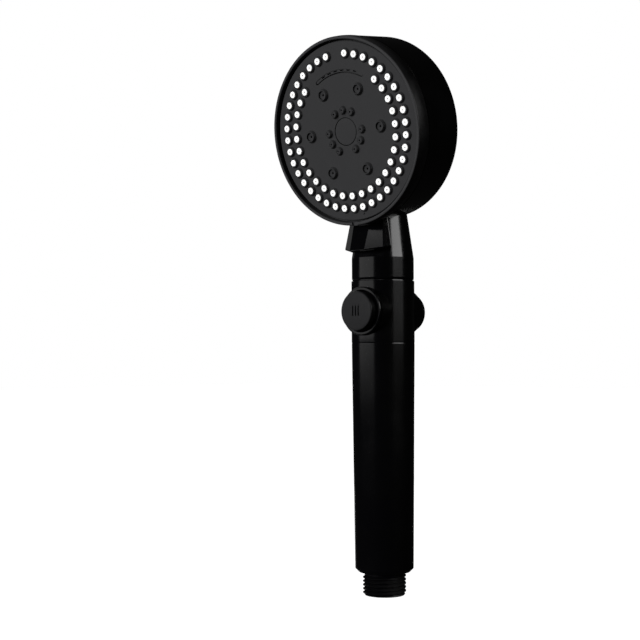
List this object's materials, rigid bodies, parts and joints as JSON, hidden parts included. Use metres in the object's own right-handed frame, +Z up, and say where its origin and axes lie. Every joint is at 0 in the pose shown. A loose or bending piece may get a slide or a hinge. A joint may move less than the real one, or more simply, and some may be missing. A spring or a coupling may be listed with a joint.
{
  "type": "handheld shower head",
  "caption": "Handheld shower head with a round multi-mode spray face that turns, a tapered handle, a push-through stop valve and a G 1/2 threaded inlet.",
  "frame": {"origin": "centre of the inlet's flat end face, where the hose washer seals", "axes": "+Z up the handle towards the head, -Y the way the spray face looks, +X to the face's right as the handset is held"},
  "size_m": [0.0896, 0.0596, 0.2701],
  "materials": {
    "gloss_black_abs": "piano-black moulded ABS",
    "satin_black_abs": "fine-textured black ABS",
    "white_silicone": "moulded white liquid silicone",
    "black_silicone": "moulded black silicone",
    "seal_rubber": "nitrile rubber rings",
    "white_acetal": "moulded acetal",
    "grey_abs": "moulded inner ABS",
    "stainless": "stainless steel"
  },
  "bodies": {
    "handset": {"inlet_nipple": "gloss_black_abs", "inlet_screen": "stainless", "flow_regulator": "white_acetal", "nipple_seal": "seal_rubber", "grip_shell": "gloss_black_abs", "water_tube": "white_acetal", "tube_seals": "seal_rubber", "grip_top_seal": "seal_rubber", "valve_housing": "gloss_black_abs", "rear_bezel": "gloss_black_abs", "front_bezel": "gloss_black_abs", "valve_cartridge": "white_acetal", "cartridge_seals": "seal_rubber", "neck_shell": "gloss_black_abs", "neck_seal": "seal_rubber", "chin_cover": "gloss_black_abs", "head_housing": "gloss_black_abs", "water_deck": "grey_abs", "deck_seal": "seal_rubber", "deck_screws": "stainless", "port_seal": "white_silicone", "port_spring": "stainless", "detent_ball": "stainless", "detent_spring": "stainless", "centre_washer": "stainless", "centre_screw": "stainless"},
    "spray_face": {"front_rim": "gloss_black_abs", "face_plate": "satin_black_abs", "rain_nozzle_mat": "white_silicone", "large_jets": "black_silicone", "small_jets": "black_silicone", "slot_insert": "satin_black_abs", "centre_cap": "satin_black_abs", "spray_chamber": "grey_abs"},
    "stop_valve": {"valve_spool": "white_acetal", "spool_seals": "seal_rubber", "front_button": "gloss_black_abs", "rear_button": "gloss_black_abs"}
  },
  "joints": [
    {"name": "spray_selector", "type": "hinge", "parent": "handset", "child": "spray_face", "pos_m": [0, -0.0287, 0.2214], "axis": [0, -0.9827, -0.1852], "continuous": true},
    {"name": "stop_valve_push", "type": "slide", "parent": "handset", "child": "stop_valve", "axis": [0, 1, 0], "range_m": [-0.003, 0]}
  ]
}
